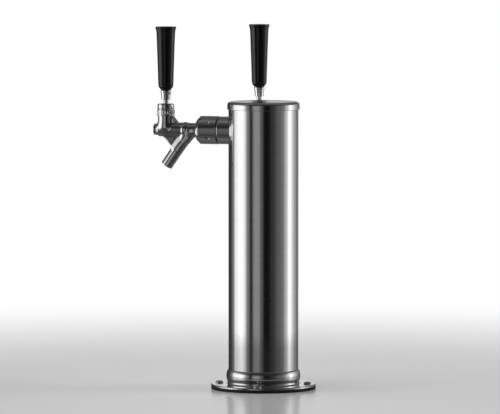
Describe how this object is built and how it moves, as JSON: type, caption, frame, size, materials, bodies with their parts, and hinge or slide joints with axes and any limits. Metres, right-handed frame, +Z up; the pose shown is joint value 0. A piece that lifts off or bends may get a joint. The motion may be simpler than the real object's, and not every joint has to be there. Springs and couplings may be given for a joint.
{
  "type": "beer tap tower",
  "caption": "Upright stainless column on a round flange, with draught faucets angled apart near its top, each with a short spout and a slim black upright handle.",
  "frame": {"origin": "centre of the base's underside, on the column's axis, over the worktop's hole", "axes": "+Z up the column; -Y is the tower's front, where the drinker stands and the faucets point; +X is the drinker's right as they face the tower"},
  "size_m": [0.1526, 0.1626, 0.3936],
  "materials": {
    "polished_stainless": "polished, with very fine brushing round the tube",
    "turned_stainless": "turned, satin",
    "chrome": "bright plated",
    "brass": "machined",
    "black_handle": "gloss black, moulded",
    "rubber": "matt black",
    "nylon": "natural nylon, matt",
    "foam": "closed-cell foam"
  },
  "bodies": {
    "tower": {"base_gasket": "rubber", "base_flange": "polished_stainless", "mounting_screw_1": "turned_stainless", "mounting_screw_2": "turned_stainless", "mounting_screw_3": "turned_stainless", "mounting_screw_4": "turned_stainless", "column_tube": "polished_stainless", "top_cap": "polished_stainless", "cap_seal": "rubber", "insulation_sleeve": "foam", "shank_right": "turned_stainless", "shank_escutcheon_right": "chrome", "inner_washer_right": "nylon", "shank_lock_nut_right": "brass", "tail_piece_right": "turned_stainless", "coupling_nut_right": "chrome", "coupling_washer_right": "nylon", "faucet_body_right": "chrome", "bonnet_right": "chrome", "friction_washer_right": "nylon", "ball_bushing_right": "nylon", "shank_left": "turned_stainless", "shank_escutcheon_left": "chrome", "inner_washer_left": "nylon", "shank_lock_nut_left": "brass", "tail_piece_left": "turned_stainless", "coupling_nut_left": "chrome", "coupling_washer_left": "nylon", "faucet_body_left": "chrome", "bonnet_left": "chrome", "friction_washer_left": "nylon", "ball_bushing_left": "nylon"},
    "lever_right": {"lever_right": "turned_stainless", "lever_collar_right": "chrome", "tap_handle_right": "black_handle", "handle_insert_right": "brass"},
    "shaft_right": {"valve_shaft_right": "turned_stainless", "seat_washer_right": "rubber", "shaft_nut_right": "turned_stainless"},
    "lever_left": {"lever_left": "turned_stainless", "lever_collar_left": "chrome", "tap_handle_left": "black_handle", "handle_insert_left": "brass"},
    "shaft_left": {"valve_shaft_left": "turned_stainless", "seat_washer_left": "rubber", "shaft_nut_left": "turned_stainless"}
  },
  "joints": [
    {"name": "lever_tilt_right", "type": "hinge", "parent": "tower", "child": "lever_right", "pos_m": [0.06424, -0.09174, 0.3015], "axis": [0.8192, 0.5736, 0], "range_deg": [0, 30]},
    {"name": "shaft_slide_right", "type": "slide", "parent": "tower", "child": "shaft_right", "axis": [-0.5736, 0.8192, 0], "range_m": [0, 0.0094]},
    {"name": "lever_tilt_left", "type": "hinge", "parent": "tower", "child": "lever_left", "pos_m": [-0.06424, -0.09174, 0.3015], "axis": [0.8192, -0.5736, 0], "range_deg": [0, 30]},
    {"name": "shaft_slide_left", "type": "slide", "parent": "tower", "child": "shaft_left", "axis": [0.5736, 0.8192, 0], "range_m": [0, 0.0094]}
  ],
  "couplings": [
    {"joint": "shaft_slide_right", "follows": "lever_tilt_right", "m_per_rad": 0.01767},
    {"joint": "shaft_slide_left", "follows": "lever_tilt_left", "m_per_rad": 0.01767}
  ]
}
